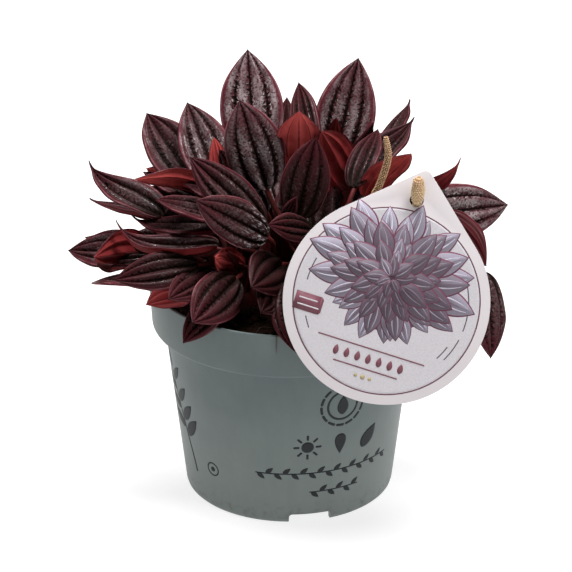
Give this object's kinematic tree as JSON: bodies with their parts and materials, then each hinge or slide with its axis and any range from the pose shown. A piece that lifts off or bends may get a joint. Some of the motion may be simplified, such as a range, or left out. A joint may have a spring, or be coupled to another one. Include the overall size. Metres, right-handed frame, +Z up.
{
  "type": "potted ripple peperomia",
  "caption": "Low mound of grooved, pointed dark leaves on short stems with slim flower spikes, growing in a round tapered pot with a hanging care tag.",
  "frame": {"origin": "centre of the pot's foot, in the plane the pot stands on", "axes": "+Z up along the pot's axis, -Y towards the side with the tag, +X to the right of it"},
  "size_m": [0.1889, 0.1612, 0.1786],
  "materials": {
    "pot_plastic": "satin",
    "soil": "matte",
    "leaf": "satin",
    "spike": "matte",
    "tag_plastic": "satin"
  },
  "bodies": {
    "root": {"pot": "pot_plastic", "soil": "soil", "crown_left": "leaf", "crown_right": "leaf", "crown_back": "leaf", "flower_spike_free": "spike", "flower_spike_through_tag": "spike", "tag": "tag_plastic"}
  },
  "joints": []
}
